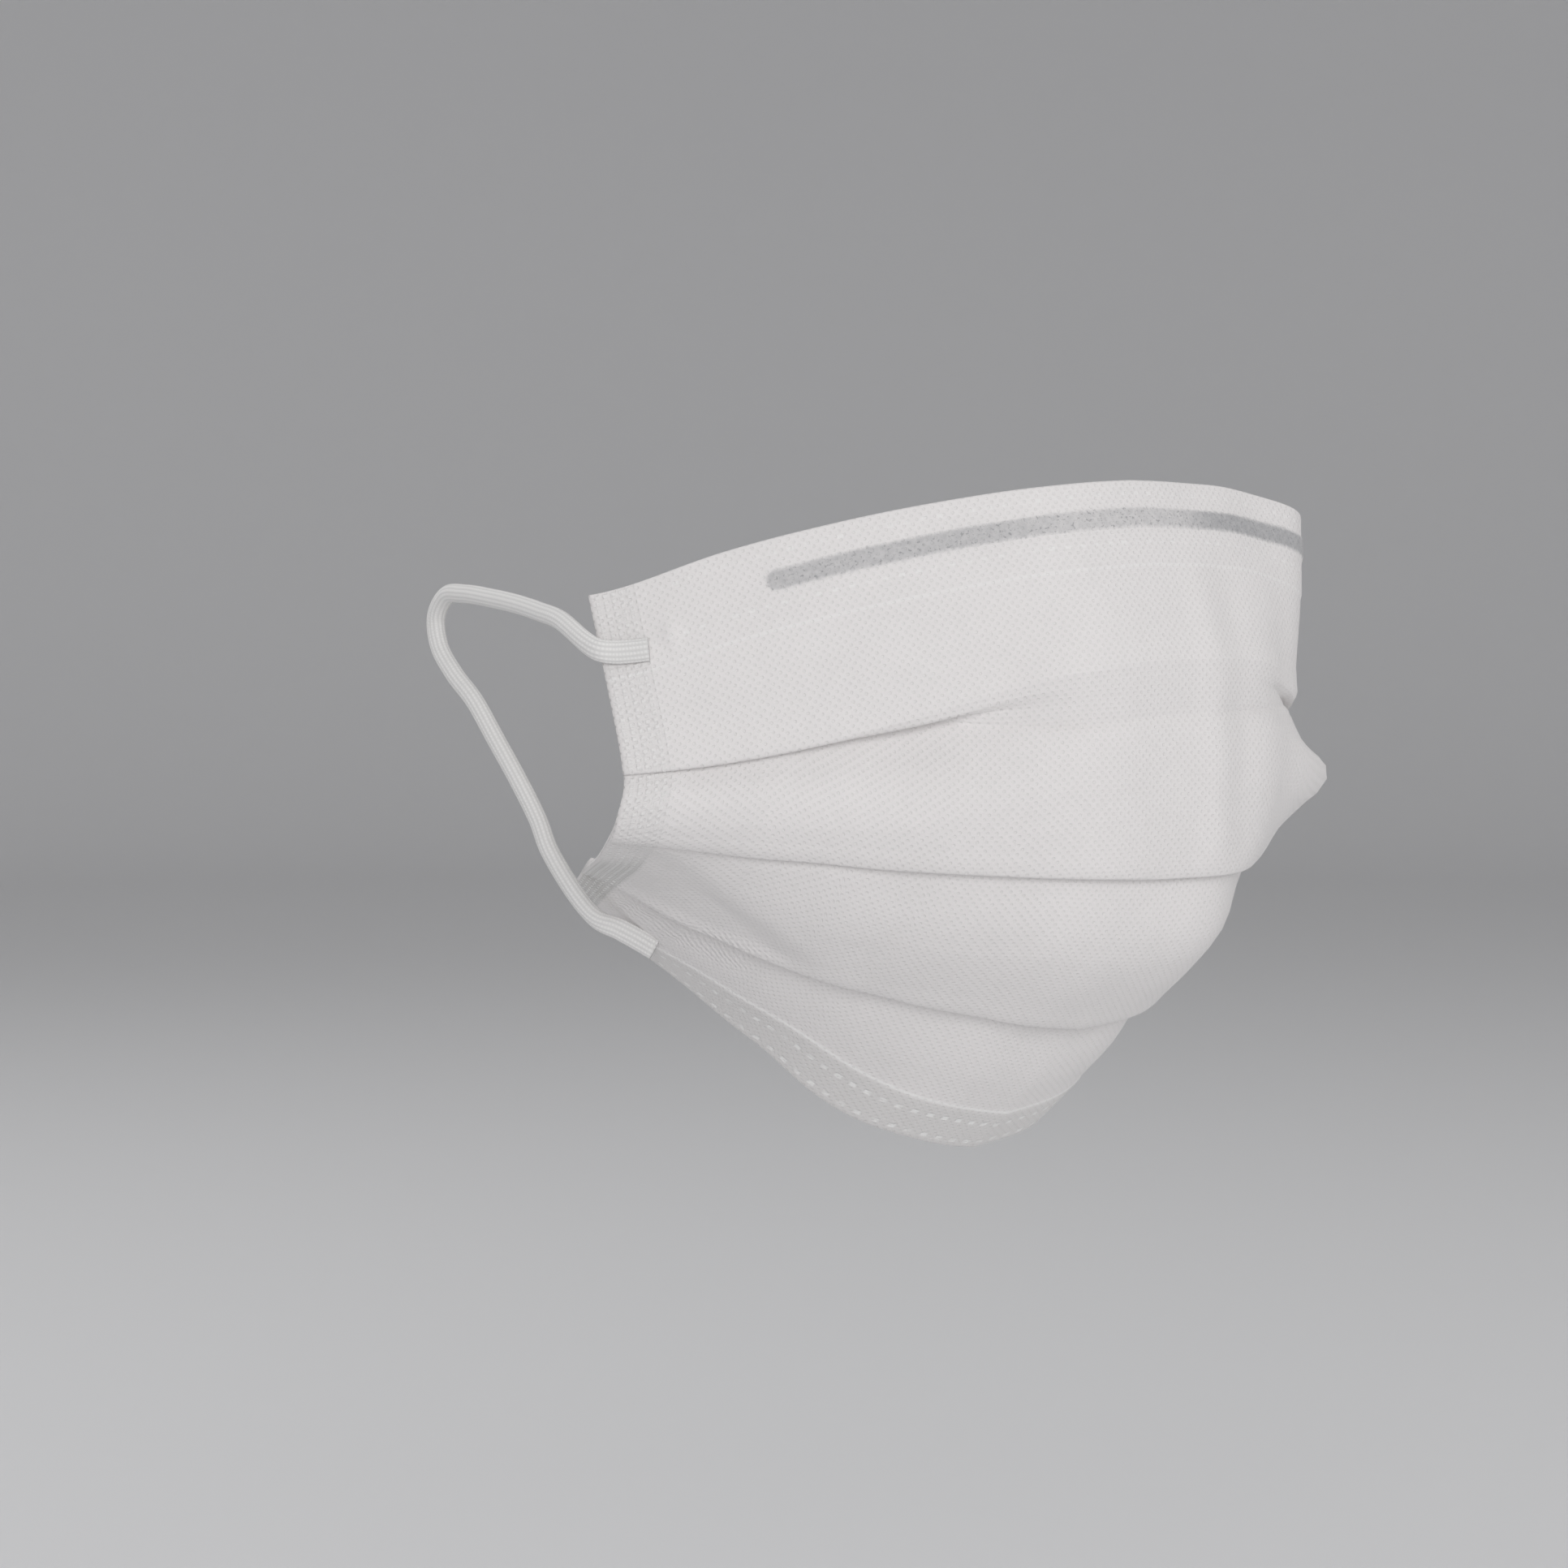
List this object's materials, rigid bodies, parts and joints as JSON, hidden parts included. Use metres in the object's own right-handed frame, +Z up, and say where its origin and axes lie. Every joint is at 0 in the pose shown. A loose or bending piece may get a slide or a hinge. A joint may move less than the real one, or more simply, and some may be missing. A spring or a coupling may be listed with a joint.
{
  "type": "surgical face mask",
  "caption": "Pleated nonwoven surgical face mask with nose wire, turned hems and elastic ear loops, in its worn shape.",
  "frame": {"origin": "middle of the top edge on the inner face of the hem, where the mask sits on the bridge of the nose", "axes": "+Z up, -Y forward away from the face, +X toward the wearer's left"},
  "size_m": [0.1545, 0.1034, 0.108],
  "materials": {
    "nonwoven": "matte spunbond with fine bonding points",
    "wire": "dull grey",
    "elastic": "knitted elastic cord"
  },
  "bodies": {
    "root": {"mask_body": "nonwoven", "top_hem": "nonwoven", "bottom_hem": "nonwoven", "nose_wire": "wire", "ear_loop_right": "elastic", "ear_loop_left": "elastic"}
  },
  "joints": []
}
